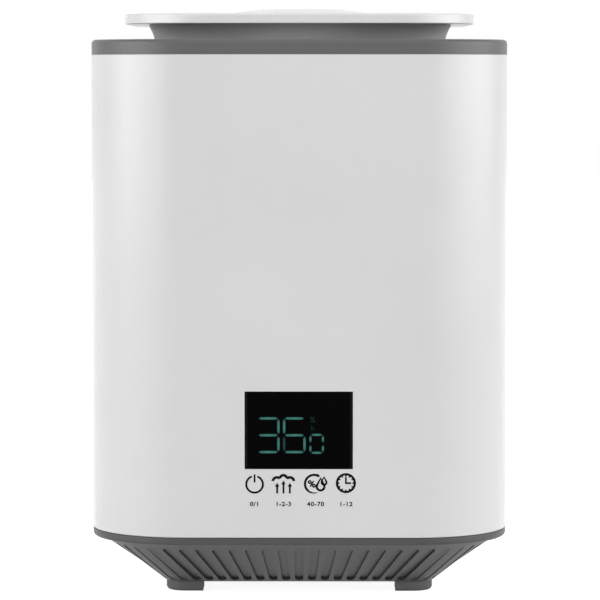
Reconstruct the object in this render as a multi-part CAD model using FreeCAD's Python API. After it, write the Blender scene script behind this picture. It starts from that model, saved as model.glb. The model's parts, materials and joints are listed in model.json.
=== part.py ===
import FreeCAD, Part
import math
import os
from FreeCAD import Vector

# Table-top ultrasonic humidifier with a lift-out water tank, in millimetres.
# +Z is up and the display faces -Y. The origin is on the table, under the middle of the body.

# Outline and levels of the body
body_width = 200.0
body_corner = 46.0
foot_height = 4.9
skirt_height = 22.1
lip_height = 4.0
shell_height = 228.0
rim_height = 7.1
neck_height = 7.5
lid_thickness = 4.8
nozzle_rise = 3.0

# Clearances
slip = 0.3
running = 0.05
sink = 0.6
overshoot = 1.0
tiny = 1e-6

# Base ring with its fluted skirt, and the plate in its foot
lip_overhang = 4.4
lip_round = 1.6
lip_edge = 0.8
skirt_top_corner = 41.6
skirt_bottom_width = 130.0
skirt_bottom_corner = 10.0
base_wall = 6.4
base_floor = 2.5
spigot_height = 4.0
spigot_wall = 2.0
flutes_per_side = 21
flute_width = 4.0
flute_top_depth = 1.0
flute_low_depth = 1.2
corner_flutes = 4
corner_flute_depth = 0.35
flute_top_gap = 2.6
flute_bottom_gap = 0.8

# Feet
foot_inset = 0.5
foot_length = 18.0
foot_round = 1.8

# Outer shell and the bosses that the base screws into
shell_wall = 2.5
shell_edge = 0.4
boss_radius = 4.0
boss_height = 12.0
boss_spacing = 90.0

# Screws: the large ones hold the casing and the small ones hold the boards and the transducer
screw_radius = 1.5
screw_head_radius = 2.9
screw_head_height = 2.0
screw_length = 13.0
small_screw_radius = 1.1
small_head_radius = 2.1
small_head_height = 1.5
small_screw_length = 6.0
recess_width = 0.7
recess_depth = 0.8

# Display behind the front wall
window_width = 51.1
window_height = 36.8
window_rise = 32.7
window_flange = 2.5
window_flange_thickness = 1.0
window_bevel = 1.15
window_bevel_depth = 0.3
bracket_margin = 4.0
bracket_depth = 6.0
led_margin = 3.5
led_gap = 0.5
touch_drop = 7.0
touch_count = 4
touch_pitch = 14.4
touch_radius = 3.4
touch_pad = 0.6
touch_wall = 0.6
board_thickness = 1.6
display_boss_radius = 3.0
display_boss_gap = 1.0
board_edge = 4.0

# Cord gland in a notch of the rear wall
gland_rise = 8.0
gland_bore = 3.3
gland_half = 7.0
gland_flange = 2.5
gland_flange_thickness = 1.2
gland_length = 12.0

# Nebuliser chamber under the tank
chamber_rise = 55.0
chamber_inset = 17.5
chamber_corner = 28.0
chamber_depth = 28.0
chamber_wall = 2.5
chamber_floor = 3.0
leg_radius = 4.5
leg_gap = 4.5

# Transducer in the chamber floor
eye_radius = 8.0
disc_radius = 12.5
disc_thickness = 1.2
seal_wall = 1.3
seal_lip = 1.4
recess_shelf = 2.0
transducer_wall = 6.2
clamp_plate = 1.5
clamp_ring = 1.5
clamp_screw_count = 3

# Water-level float beside the transducer
float_offset = 45.0
float_radius = 12.0
float_height = 12.0
float_travel = 10.0
float_rest_gap = 0.5
post_radius = 4.0
magnet_wall = 2.2
magnet_height = 4.0
reed_radius = 2.0
reed_length = 15.0
reed_cap = 2.0

# Fan on the base floor and the duct that feeds the chamber
fan_size = 50.0
fan_depth = 15.0
fan_lift = 4.0
fan_setback = 33.0
fan_bore = 23.0
fan_corner = 4.0
fan_hole_inset = 5.0
fan_boss_radius = 3.6
hub_radius = 12.0
hub_wall = 1.6
hub_plate = 3.0
strut_width = 3.0
bush_wall = 1.6
shaft_radius = 1.5
stator_gap = 1.0
blade_count = 7
blade_tilt = 40.0
blade_chord = 10.0
blade_thickness = 1.2
blade_gap = 0.7
pipe_setback = 50.0
pipe_bore = 14.0
pipe_wall = 2.0
pipe_rise = 18.0
pipe_collar = 6.0
pipe_flange = 1.5
pipe_flange_height = 1.5
duct_wall = 1.8
duct_plate = 2.0
duct_spigot = 8.0
gasket_height = 2.0
grille_bar = 3.0
grille_slot = 3.0

# Boards on the base floor
board_width = 32.0
board_length = 62.0
board_gap = 3.0
standoff_height = 6.0
standoff_radius = 2.8
transformer_width = 18.0
transformer_length = 20.0
transformer_height = 16.0
capacitor_radius = 5.0
capacitor_height = 15.0
connector_width = 8.0
connector_length = 5.0
connector_height = 6.0
coil_radius = 6.0
coil_height = 9.0
fin_count = 6
fin_thickness = 1.5
fin_gap = 2.5
fin_height = 22.0
fin_base = 3.0
fin_length = 12.0
sensor_width = 14.0
sensor_length = 10.0
sensor_setback = 44.0
sensor_can = 6.0
sensor_can_height = 2.5
peg_radius = 1.8
peg_height = 3.0

# Water tank, mist tube and tank valve
tank_gap = 2.5
tank_wall = 2.0
tank_floor = 2.5
tube_radius = 16.0
tube_wall = 2.0
tube_rise = 0.7
collar_wall = 3.0
collar_height = 6.0
tube_seal_width = 2.4
tube_seal_height = 2.0
valve_offset = 45.0
throat_radius = 9.8
throat_bore = 6.0
throat_flange = 4.2
throat_flange_height = 2.0
valve_travel = 3.0
valve_seal_height = 1.2
plunger_radius = 8.5
plunger_height = 2.0
stem_radius = 2.0
stem_reach = 4.0
stem_drop = 2.0
bridge_height = 2.0
bridge_leg_radius = 1.4
bridge_legs = 3
spring_height = 9.0
spring_radius = 4.2
spring_wire = 0.45
spring_turns = 4
push_post_radius = 2.5

# Top cover with its band, and the flared neck that stands in it
rim_round = 2.0
deck_thickness = 2.5
cover_rib_depth = 6.0
cover_rib_wall = 2.0
neck_radius = 72.2
neck_flare = 3.2
neck_sag = 0.5
neck_wall = 2.5
neck_foot = 2.0
neck_foot_height = 1.5

# Lid and mist outlet
lid_width = 168.6
lid_corner = 38.0
lid_top_round = 1.0
lid_under_round = 0.5
lid_spigot_depth = 6.0
lid_spigot_wall = 2.2
lid_seal_height = 2.0
lid_seal_groove = 0.8
lid_duct_depth = 10.0
lid_duct_wall = 2.0
lid_duct_gap = 1.0
outlet_radius = 38.0
outlet_flat = 21.0
outlet_edge = 0.6
outlet_cap = 2.0
outlet_slot_length = 26.0
outlet_slot_width = 9.0
outlet_slot_offset = 5.0
outlet_stem_radius = 20.0
outlet_stem_wall = 2.0
clip_height = 1.6
clip_width = 3.6
clip_groove = 0.6
clip_margin = 0.6

# Leads inside the casing
lead_radius = 1.2
lead_bend = 5.0
lead_rise = 17.0
cable_setback = 60.0
cable_drop = 12.0
plug_rise = 24.0
disc_drop = 18.0

# Levels worked out from the heights above
half = body_width / 2
z_lip = foot_height + skirt_height
z_shell = z_lip + lip_height
z_rim = z_shell + shell_height
z_deck = z_rim + rim_height
z_lid = z_deck + neck_height
z_lid_top = z_lid + lid_thickness
z_top = z_lid_top + nozzle_rise
z_base = foot_height + base_floor
z_chamber = z_shell + chamber_rise
z_water = z_chamber + chamber_floor
z_tank = z_chamber + chamber_depth
z_tank_floor = z_tank + tank_floor
z_tank_top = z_deck - deck_thickness
z_tip = z_tank - stem_drop
z_fan = z_base + fan_lift
z_fan_top = z_fan + fan_depth
z_board = z_base + standoff_height
z_parts = z_board + board_thickness
z_window = z_shell + window_rise
z_touch = z_window - touch_drop
z_gland = z_shell + gland_rise

# Plan sizes that several pieces share
shell_inner = half - shell_wall
shell_inner_corner = body_corner - shell_wall
skirt_top_half = half - lip_overhang
skirt_bottom_half = skirt_bottom_width / 2
tank_half = shell_inner - tank_gap
tank_corner = shell_inner_corner - tank_gap
chamber_half = shell_inner - chamber_inset
boss_line = shell_inner - boss_radius + sink
leg_offset = board_length / 2 + leg_gap + leg_radius
board_offset = fan_size / 2 + board_gap + board_width / 2
seal_radius = disc_radius + seal_wall
transducer_radius = seal_radius + transducer_wall
seal_height = disc_thickness + 2 * seal_lip
bush_radius = shaft_radius + running + bush_wall
bracket_half = window_width / 2 + bracket_margin
bracket_low = z_window - bracket_margin
bracket_high = z_window + window_height + bracket_margin
display_boss_x = bracket_half + display_boss_gap + display_boss_radius
display_half = display_boss_x + board_edge
display_low = z_touch - 2 * touch_radius - board_edge
display_high = bracket_high + board_edge
y_inner = -shell_inner
y_flange = y_inner + window_flange_thickness
y_board = y_flange + bracket_depth
y_board_back = y_board + board_thickness

four_corners = [(-1, -1), (1, -1), (1, 1), (-1, 1)]
up = Vector(0, 0, 1)
down = Vector(0, 0, -1)
forward = Vector(0, -1, 0)
middle = Vector(0, 0, 0)


# Shape helpers

def block(x0, x1, y0, y1, z0, z1):
    return Part.makeBox(x1 - x0, y1 - y0, z1 - z0, Vector(x0, y0, z0))


def rod(radius, z0, z1, x=0, y=0):
    return Part.makeCylinder(radius, z1 - z0, Vector(x, y, z0))


def ring(outer, inner, z0, z1, x=0, y=0):
    return rod(outer, z0, z1, x, y).cut(rod(inner, z0, z1, x, y))


def rod_y(radius, y0, y1, x, z):
    return Part.makeCylinder(radius, y1 - y0, Vector(x, y0, z), Vector(0, 1, 0))


def lathe(points, x=0, y=0):
    corners = [Vector(r, 0, z) for r, z in points + points[:1]]
    solid = Part.Face(Part.makePolygon(corners)).revolve(middle, up, 360)
    return solid.translated(Vector(x, y, 0))


def turned(x, y, quarters):
    for _ in range(quarters):
        x, y = -y, x
    return x, y


def outline(half_width, corner, z):
    flat = half_width - corner
    slant = flat + corner * math.sqrt(0.5)
    marks = [(-flat, -half_width), (flat, -half_width), (slant, -slant), (half_width, -flat)]
    edges = []
    for quarter in range(4):
        start, end, bend, side = [Vector(*turned(x, y, quarter), z) for x, y in marks]
        edges.append(Part.LineSegment(start, end).toShape())
        edges.append(Part.Arc(end, bend, side).toShape())
    return Part.Wire(edges)


def prism(half_width, corner, z0, z1):
    return Part.Face(outline(half_width, corner, z0)).extrude(Vector(0, 0, z1 - z0))


def taper(half0, corner0, z0, half1, corner1, z1):
    return Part.makeLoft([outline(half0, corner0, z0), outline(half1, corner1, z1)], True, True)


def edges_at(shape, z):
    return [edge for edge in shape.Edges if all(abs(v.Z - z) < tiny for v in edge.Vertexes)]


def joined(shapes):
    solid = shapes[0].multiFuse(shapes[1:]).removeSplitter()
    return solid.Solids[0] if len(solid.Solids) == 1 else solid


def group(shapes):
    return Part.makeCompound(shapes)


def placed(shape, point, axis):
    copy = shape.copy()
    copy.Placement = FreeCAD.Placement(point, FreeCAD.Rotation(up, axis))
    return copy


def screw(radius, head_radius, head_height, length):
    # The head lies below zero and the shank points up.
    body = joined([rod(head_radius, -head_height, 0), rod(radius, 0, length)])
    low, high = -head_height, -head_height + recess_depth
    reach = head_radius - recess_width
    wide = block(-reach, reach, -recess_width / 2, recess_width / 2, low, high)
    deep = block(-recess_width / 2, recess_width / 2, -reach, reach, low, high)
    return body.cut([wide, deep])


def large_screw(length):
    return screw(screw_radius, screw_head_radius, screw_head_height, length)


def small_screw(length):
    return screw(small_screw_radius, small_head_radius, small_head_height, length)


def lead(points, radius):
    # A round lead along straight runs that are joined by tangent arcs.
    marks = [Vector(*point) for point in points]
    edges = []
    start = marks[0]
    for before, corner, after in zip(marks, marks[1:], marks[2:]):
        back = (before - corner).normalize()
        ahead = (after - corner).normalize()
        half_turn = (math.pi - back.getAngle(ahead)) / 2
        set_back = lead_bend * math.tan(half_turn)
        bisector = (back + ahead).normalize()
        centre = corner + bisector * (lead_bend / math.cos(half_turn))
        first = corner + back * set_back
        last = corner + ahead * set_back
        edges.append(Part.LineSegment(start, first).toShape())
        edges.append(Part.Arc(first, centre - bisector * lead_bend, last).toShape())
        start = last
    edges.append(Part.LineSegment(start, marks[-1]).toShape())
    path = Part.Wire(edges)
    section = Part.Wire(Part.Circle(marks[0], marks[1] - marks[0], radius).toShape())
    return path.makePipeShell([section], True, False)


# Base, feet and outer shell

def skirt_half(z):
    share = (z - foot_height) / skirt_height
    return skirt_bottom_half + share * (skirt_top_half - skirt_bottom_half)


def skirt_corner(z):
    share = (z - foot_height) / skirt_height
    return skirt_bottom_corner + share * (skirt_top_corner - skirt_bottom_corner)


def quarter_length(half_width, corner):
    return 2 * (half_width - corner) + math.pi / 2 * corner


def bend_angle(half_width, corner, share):
    # How far a quarter of a rounded square has turned, from the front's middle to the side's middle.
    along = share * quarter_length(half_width, corner)
    return min(max((along - half_width + corner) / corner, 0), math.pi / 2)


def edge_point(half_width, corner, share, z):
    flat = half_width - corner
    along = share * quarter_length(half_width, corner)
    angle = bend_angle(half_width, corner, share)
    x = min(along, flat) + corner * math.sin(angle)
    y = max(along - flat - math.pi / 2 * corner, 0) - flat - corner * math.cos(angle)
    return Vector(x, y, z)


def flat_share(half_width, corner):
    return (half_width - corner) / quarter_length(half_width, corner)


def skirt_wire(half_width, corner, z):
    # The top and the bottom edge are split at the same shares, so that straight lines join them evenly.
    top = flat_share(skirt_top_half, skirt_top_corner)
    low = flat_share(skirt_bottom_half, skirt_bottom_corner)
    shares = sorted([0, top, low, 1 - top, 1 - low, 1])
    edges = []
    for quarter in range(4):
        for start, end in zip(shares, shares[1:]):
            marks = [edge_point(half_width, corner, share, z) for share in (start, (start + end) / 2, end)]
            first, bend, last = [Vector(*turned(mark.x, mark.y, quarter), z) for mark in marks]
            straight = (bend - first).cross(last - first).Length < tiny
            curve = Part.LineSegment(first, last) if straight else Part.Arc(first, bend, last)
            edges.append(curve.toShape())
    return Part.Wire(edges)


def ruling(share):
    # One of the skirt's straight lines, and the way its face runs across it.
    top = edge_point(skirt_top_half, skirt_top_corner, share, z_lip)
    low = edge_point(skirt_bottom_half, skirt_bottom_corner, share, foot_height)
    angle = bend_angle(skirt_top_half, skirt_top_corner, share)
    angle = (angle + bend_angle(skirt_bottom_half, skirt_bottom_corner, share)) / 2
    return top, low, Vector(math.cos(angle), math.sin(angle), 0)


def flute(top, low, along, top_depth, low_depth):
    # A groove with round ends along one of the skirt's straight lines.
    slope = low - top
    outward = slope.cross(along).normalize()
    radius = flute_width / 2
    first = top + slope * (flute_top_gap / skirt_height)
    last = low - slope * (flute_bottom_gap / skirt_height)
    slope = slope.normalize()
    first = first + slope * radius - outward * top_depth
    last = last - slope * radius - outward * low_depth
    side = outward.cross(slope) * radius
    slope = (last - first).normalize()
    edges = [Part.LineSegment(first + side, last + side).toShape()]
    edges.append(Part.Arc(last + side, last + slope * radius, last - side).toShape())
    edges.append(Part.LineSegment(last - side, first - side).toShape())
    edges.append(Part.Arc(first - side, first - slope * radius, first + side).toShape())
    return Part.Face(Part.Wire(edges)).extrude(outward * (low_depth + overshoot))


def flutes():
    cutters = []
    for step in range(flutes_per_side):
        # They are deeper at the foot, and the few round each corner are shallow.
        depths = (flute_top_depth, flute_low_depth)
        if abs(step - flutes_per_side / 2) < corner_flutes / 2:
            depths = (corner_flute_depth, corner_flute_depth)
        cutter = flute(*ruling(step / flutes_per_side), *depths)
        for quarter in range(4):
            copy = cutter.copy()
            copy.rotate(middle, up, 90 * quarter)
            cutters.append(copy)
    return cutters


def shell_boss_places():
    return [(x * boss_line, y * boss_spacing / 2) for x, y in four_corners]


def leg_places():
    return [(x * leg_offset, y * leg_offset) for x, y in four_corners]


def fan_hole_places():
    reach = fan_size / 2 - fan_hole_inset
    return [(x * reach, fan_setback + y * reach) for x, y in four_corners]


def board_hole_places():
    reach_x = board_width / 2 - standoff_radius
    reach_y = board_length / 2 - standoff_radius
    places = []
    for side in (-1, 1):
        places += [(side * board_offset + x * reach_x, y * reach_y) for x, y in four_corners]
    return places


def peg_places():
    reach = sensor_width / 2 - peg_radius
    return [(side * reach, -sensor_setback) for side in (-1, 1)]


def grille_slots():
    pitch = grille_bar + grille_slot
    reach = fan_bore - grille_bar
    count = int(reach / pitch)
    slots = []
    for step in range(-count, count + 1):
        x = step * pitch
        length = math.sqrt(reach ** 2 - x ** 2)
        y0, y1 = fan_setback - length, fan_setback + length
        x0, x1 = x - grille_slot / 2, x + grille_slot / 2
        slots.append(block(x0, x1, y0, y1, foot_height - overshoot, z_base + overshoot))
    return slots


def base_hollow(z0, z1):
    low = (skirt_half(z0) - base_wall, skirt_corner(z0) - base_wall, z0)
    high = (skirt_half(z1) - base_wall, skirt_corner(z1) - base_wall, z1)
    return taper(*low, *high)


def base_housing():
    lip = prism(half, body_corner, z_lip, z_shell)
    lip = lip.makeFillet(lip_round, edges_at(lip, z_lip)).makeFillet(lip_edge, edges_at(lip, z_shell))
    low_wire = skirt_wire(skirt_bottom_half, skirt_bottom_corner, foot_height)
    top_wire = skirt_wire(skirt_top_half, skirt_top_corner, z_lip)
    skirt = Part.makeLoft([low_wire, top_wire], True, True).cut(flutes())
    hollow = base_hollow(foot_height, z_lip)
    mouth = prism(skirt_top_half - base_wall, skirt_top_corner - base_wall, z_lip, z_shell + overshoot)
    casing = joined([lip, skirt]).cut([hollow, mouth])
    spigot_half = shell_inner - slip
    spigot_corner = shell_inner_corner - slip
    spigot_top = z_shell + spigot_height
    spigot = prism(spigot_half, spigot_corner, z_shell, spigot_top)
    spigot_hollow = spigot_half - spigot_wall
    spigot = spigot.cut(prism(spigot_hollow, spigot_corner - spigot_wall, z_shell, spigot_top))
    cuts = []
    for x, y in shell_boss_places():
        cuts.append(rod(screw_radius + slip, z_lip - overshoot, z_shell + overshoot, x, y))
        cuts.append(rod(screw_head_radius + slip, foot_height, z_lip + screw_head_height, x, y))
        cuts.append(rod(boss_radius + slip, z_shell, spigot_top + overshoot, x, y))
    reach = gland_half + gland_flange + slip
    cuts.append(block(-reach, reach, half - gland_length - slip, half, z_shell, spigot_top + overshoot))
    return joined([casing, spigot]).cut(cuts)


def base_plate():
    posts = [rod(fan_boss_radius, z_base - sink, z_fan, x, y) for x, y in fan_hole_places()]
    posts += [rod(standoff_radius, z_base - sink, z_board, x, y) for x, y in board_hole_places()]
    posts += [rod(peg_radius, z_base - sink, z_base + peg_height, x, y) for x, y in peg_places()]
    cuts = grille_slots()
    for x, y in leg_places():
        cuts.append(rod(screw_radius + slip, foot_height - overshoot, z_base + overshoot, x, y))
    for x, y in fan_hole_places():
        cuts.append(rod(screw_radius, z_base, z_fan + overshoot, x, y))
    for x, y in board_hole_places():
        cuts.append(rod(small_screw_radius, z_base, z_board + overshoot, x, y))
    return joined([base_hollow(foot_height, z_base)] + posts).cut(cuts)


def rubber_feet():
    outer = skirt_bottom_half - foot_inset
    inner = outer - foot_length
    pad = prism(outer, skirt_bottom_corner - foot_inset, 0, foot_height)
    pad = pad.makeFillet(foot_round, edges_at(pad, 0))
    feet = []
    for x, y in four_corners:
        x0, x1 = sorted((x * inner, x * half))
        y0, y1 = sorted((y * inner, y * half))
        feet.append(pad.common(block(x0, x1, y0, y1, 0, foot_height)).Solids[0])
    return group(feet)


def display_boss_places():
    heights = (display_low + board_edge, display_high - board_edge)
    return [(side * display_boss_x, z) for side in (-1, 1) for z in heights]


def outer_shell():
    wall = prism(half, body_corner, z_shell, z_rim)
    wall = wall.makeFillet(shell_edge, edges_at(wall, z_shell) + edges_at(wall, z_rim))
    wall = wall.cut(prism(shell_inner, shell_inner_corner, z_shell, z_rim))
    bosses = [rod(boss_radius, z_shell, z_shell + boss_height, x, y) for x, y in shell_boss_places()]
    bosses += [rod_y(display_boss_radius, y_inner - sink, y_board, x, z) for x, z in display_boss_places()]
    depth = screw_length - lip_height + screw_head_height
    cuts = [rod(screw_radius, z_shell, z_shell + depth, x, y) for x, y in shell_boss_places()]
    pilot = small_screw_length - board_thickness
    cuts += [rod_y(small_screw_radius, y_board - pilot, y_board, x, z) for x, z in display_boss_places()]
    reach = window_width / 2
    y0, y1 = -half - overshoot, y_inner + overshoot
    cuts.append(block(-reach, reach, y0, y1, z_window, z_window + window_height))
    cuts += [gland_part(0, shell_inner - overshoot, half + overshoot)]
    cuts += [gland_part(gland_flange, half - gland_flange_thickness, half + overshoot)]
    return joined([wall] + bosses).cut(cuts)


def shell_screws():
    one = large_screw(screw_length)
    seat = z_lip + screw_head_height
    return group([placed(one, Vector(x, y, seat), up) for x, y in shell_boss_places()])


def gland_part(margin, y0, y1):
    reach = gland_half + margin
    return block(-reach, reach, y0, y1, z_shell, z_gland + reach)


def cord_gland():
    sleeve = gland_part(0, half - gland_length, half)
    outside = gland_part(gland_flange, half - gland_flange_thickness, half)
    inside = gland_part(gland_flange, shell_inner - gland_flange_thickness, shell_inner)
    return joined([sleeve, outside, inside]).cut(rod_y(gland_bore, half - gland_length, half, 0, z_gland))


# Display stack behind the front wall

def window_edge(inset, y):
    reach = window_width / 2 - inset
    low, high = z_window + inset, z_window + window_height - inset
    corners = [(-reach, low), (reach, low), (reach, high), (-reach, high), (-reach, low)]
    return Part.makePolygon([Vector(x, y, z) for x, z in corners])


def display_window():
    y_bevel = -half + window_bevel_depth
    wide = window_width / 2 + window_flange
    low, high = z_window - window_flange, z_window + window_height + window_flange
    flange = block(-wide, wide, y_inner, y_flange, low, high)
    reach = window_width / 2
    glass = block(-reach, reach, y_bevel, y_inner, z_window, z_window + window_height)
    bevel = Part.makeLoft([window_edge(0, y_bevel), window_edge(window_bevel, -half)], True, True)
    return joined([glass, bevel, flange])


def led_space(gap, y_front):
    margin = led_margin - gap
    reach = window_width / 2 - margin
    return block(-reach, reach, y_front, y_board, z_window + margin, z_window + window_height - margin)


def led_module():
    return led_space(0, y_flange + led_gap)


def display_bracket():
    frame = block(-bracket_half, bracket_half, y_flange, y_board, bracket_low, bracket_high)
    return frame.cut(led_space(slip, y_flange))


def display_board():
    board = block(-display_half, display_half, y_board, y_board_back, display_low, display_high)
    hole = small_screw_radius + slip
    y0, y1 = y_board - overshoot, y_board_back + overshoot
    holes = [rod_y(hole, y0, y1, x, z) for x, z in display_boss_places()]
    x0, z0 = -connector_width / 2, display_low + board_edge
    y1 = y_board_back + connector_length
    socket = block(x0, x0 + connector_width, y_board_back, y1, z0, z0 + connector_height)
    return joined([board.cut(holes), socket])


def touch_springs():
    springs = []
    for step in range(touch_count):
        x = (step - (touch_count - 1) / 2) * touch_pitch
        pad = rod_y(touch_radius, y_inner, y_inner + touch_pad, x, z_touch)
        sleeve = rod_y(touch_radius - touch_wall, y_inner, y_board, x, z_touch)
        bore = rod_y(touch_radius - 2 * touch_wall, y_inner + touch_pad, y_board, x, z_touch)
        springs.append(joined([pad, sleeve]).cut(bore))
    return group(springs)


def display_screws():
    one = small_screw(small_screw_length)
    return group([placed(one, Vector(x, y_board_back, z), forward) for x, z in display_boss_places()])


# Nebuliser chamber with its transducer, float and standpipe

def clamp_screw_places():
    reach = (seal_radius + slip + transducer_radius) / 2
    angles = [math.radians(90 + 360 * step / clamp_screw_count) for step in range(clamp_screw_count)]
    return [(reach * math.cos(angle), reach * math.sin(angle)) for angle in angles]


z_shelf = z_chamber - recess_shelf
z_seal = z_shelf - seal_height
z_clamp = z_seal - clamp_ring
z_pipe = z_chamber - pipe_collar
z_float = z_water + float_rest_gap
magnet_inner = post_radius + slip + magnet_wall
magnet_outer = magnet_inner + magnet_wall


def nebuliser_chamber():
    tray = prism(chamber_half, chamber_corner, z_chamber, z_tank)
    tray = tray.cut(prism(chamber_half - chamber_wall, chamber_corner - chamber_wall, z_water, z_tank))
    added = [rod(leg_radius, z_base, z_chamber + sink, x, y) for x, y in leg_places()]
    added.append(rod(transducer_radius, z_clamp, z_chamber + sink))
    added.append(rod(post_radius, z_water - sink, z_float + float_height + float_travel, float_offset))
    added.append(rod(push_post_radius, z_water - sink, z_tip, -valve_offset))
    cuts = [rod(eye_radius, z_clamp - overshoot, z_water + overshoot)]
    cuts.append(rod(seal_radius, z_clamp - overshoot, z_shelf))
    hole = pipe_bore + pipe_wall + slip
    cuts.append(rod(hole, z_chamber - overshoot, z_water + overshoot, 0, pipe_setback))
    cuts.append(rod(reed_radius, z_chamber - overshoot, z_chamber + reed_length, float_offset))
    pilot = screw_length - base_floor
    cuts += [rod(screw_radius, z_base - overshoot, z_base + pilot, x, y) for x, y in leg_places()]
    bite = small_screw_length - clamp_plate
    z0, z1 = z_clamp - overshoot, z_clamp + bite
    cuts += [rod(small_screw_radius, z0, z1, x, y) for x, y in clamp_screw_places()]
    return joined([tray] + added).cut(cuts)


def air_pipe():
    # The flange sits on the chamber's floor, and the pipe's lower end meets the duct below it.
    outer = pipe_bore + pipe_wall
    z_pipe_top = z_water + pipe_rise
    pipe = ring(outer, pipe_bore, z_pipe, z_pipe_top, 0, pipe_setback)
    flange = ring(outer + pipe_flange, pipe_bore, z_water, z_water + pipe_flange_height, 0, pipe_setback)
    return joined([pipe, flange])


def chassis_screws():
    one = large_screw(screw_length)
    return group([placed(one, Vector(x, y, foot_height), up) for x, y in leg_places()])


def transducer_disc():
    return rod(disc_radius, z_seal + seal_lip, z_seal + seal_lip + disc_thickness)


def transducer_seal():
    return ring(seal_radius, eye_radius, z_seal, z_shelf).cut(transducer_disc())


def transducer_clamp():
    plate = rod(transducer_radius, z_clamp - clamp_plate, z_clamp)
    holes = [rod(eye_radius, z_clamp - clamp_plate - overshoot, z_seal + overshoot)]
    hole = small_screw_radius + slip
    holes += [rod(hole, z_clamp - clamp_plate - overshoot, z_clamp, x, y) for x, y in clamp_screw_places()]
    return joined([plate, rod(seal_radius - slip, z_clamp, z_seal)]).cut(holes)


def clamp_screws():
    one = small_screw(small_screw_length)
    return group([placed(one, Vector(x, y, z_clamp - clamp_plate), up) for x, y in clamp_screw_places()])


def reed_switch():
    capsule = rod(reed_radius, z_chamber - reed_cap, z_chamber + reed_length - slip, float_offset)
    return joined([capsule, rod(post_radius, z_chamber - reed_cap, z_chamber, float_offset)])


def float_ring():
    body = ring(float_radius, post_radius + slip, z_float, z_float + float_height, float_offset)
    return body.cut(float_magnet())


def float_magnet():
    return ring(magnet_outer, magnet_inner, z_float, z_float + magnet_height, float_offset)


# Fan and its duct

def fan_frame():
    reach = fan_size / 2
    frame = block(-reach, reach, fan_setback - reach, fan_setback + reach, z_fan, z_fan_top)
    uprights = [e for e in frame.Edges if abs(e.Vertexes[0].Z - e.Vertexes[-1].Z) > fan_depth / 2]
    frame = frame.makeFillet(fan_corner, uprights)
    frame = frame.cut(rod(fan_bore, z_fan, z_fan_top, 0, fan_setback))
    added = [rod(hub_radius, z_fan, z_fan + hub_plate, 0, fan_setback)]
    for step in range(4):
        strut = block(0, fan_bore + sink, -strut_width / 2, strut_width / 2, z_fan, z_fan + hub_plate)
        strut.rotate(middle, up, 45 + 90 * step)
        added.append(strut.translated(Vector(0, fan_setback, 0)))
    cuts = [rod(screw_radius + slip, z_fan, z_fan_top, x, y) for x, y in fan_hole_places()]
    cuts.append(rod(bush_radius, z_fan, z_fan + hub_plate, 0, fan_setback))
    return joined([frame] + added).cut(cuts)


z_rotor = z_fan + hub_plate + stator_gap
z_rotor_top = z_fan_top - stator_gap
z_hub_inside = z_rotor_top - hub_wall
z_bush_top = z_hub_inside - stator_gap


def fan_bush():
    return ring(bush_radius, shaft_radius + running, z_fan, z_bush_top, 0, fan_setback)


def fan_stator():
    outer = hub_radius - hub_wall - stator_gap
    return ring(outer, bush_radius, z_fan + hub_plate, z_bush_top - stator_gap, 0, fan_setback)


def fan_rotor():
    hub = rod(hub_radius, z_rotor, z_rotor_top, 0, fan_setback)
    hub = hub.cut(rod(hub_radius - hub_wall, z_rotor, z_hub_inside, 0, fan_setback))
    shaft = rod(shaft_radius, z_fan + stator_gap, z_rotor_top, 0, fan_setback)
    tip = fan_bore - blade_gap
    rise = (z_rotor_top - z_rotor) / 2
    blades = []
    for step in range(blade_count):
        root = hub_radius - hub_wall / 2
        blade = block(root, tip, -blade_chord / 2, blade_chord / 2, -blade_thickness / 2, blade_thickness / 2)
        blade.rotate(middle, Vector(1, 0, 0), blade_tilt)
        blade.rotate(middle, up, 360 * step / blade_count)
        blades.append(blade.translated(Vector(0, fan_setback, z_rotor + rise)))
    sweep = ring(tip, hub_radius - hub_wall, z_rotor, z_rotor_top, 0, fan_setback)
    blades = [blade.common(sweep) for blade in blades]
    return joined([hub, shaft] + blades)


def duct_loft(low_radius, high_radius, z_low, z_high):
    low = Part.Circle(Vector(0, fan_setback, z_low), up, low_radius).toShape()
    high = Part.Circle(Vector(0, pipe_setback, z_high), up, high_radius).toShape()
    return Part.makeLoft([Part.Wire(low), Part.Wire(high)], True, True)


def fan_duct():
    reach = fan_size / 2
    z_hood = z_fan_top + duct_plate
    z_shoulder = z_pipe - gasket_height
    spigot = pipe_bore - slip
    plate = block(-reach, reach, fan_setback - reach, fan_setback + reach, z_fan_top, z_hood)
    hood = duct_loft(fan_bore + duct_wall, pipe_bore + pipe_wall, z_hood, z_shoulder)
    neck = rod(spigot, z_shoulder, z_pipe + duct_spigot, 0, pipe_setback)
    cuts = [rod(fan_bore, z_fan_top, z_hood, 0, fan_setback)]
    cuts.append(duct_loft(fan_bore, spigot - duct_wall, z_hood, z_shoulder))
    cuts.append(rod(spigot - duct_wall, z_shoulder, z_pipe + duct_spigot, 0, pipe_setback))
    for x, y in fan_hole_places():
        cuts.append(rod(screw_radius + slip, z_fan_top, z_hood, x, y))
        cuts.append(rod(screw_head_radius + slip, z_hood, z_hood + screw_head_height + overshoot, x, y))
    return joined([plate, hood, neck]).cut(cuts)


def duct_gasket():
    return ring(pipe_bore + pipe_wall, pipe_bore - slip, z_pipe - gasket_height, z_pipe, 0, pipe_setback)


def fan_screws():
    one = large_screw(duct_plate + fan_depth + fan_lift)
    seat = z_fan_top + duct_plate
    return group([placed(one, Vector(x, y, seat), down) for x, y in fan_hole_places()])


# Boards on the base floor

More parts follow.
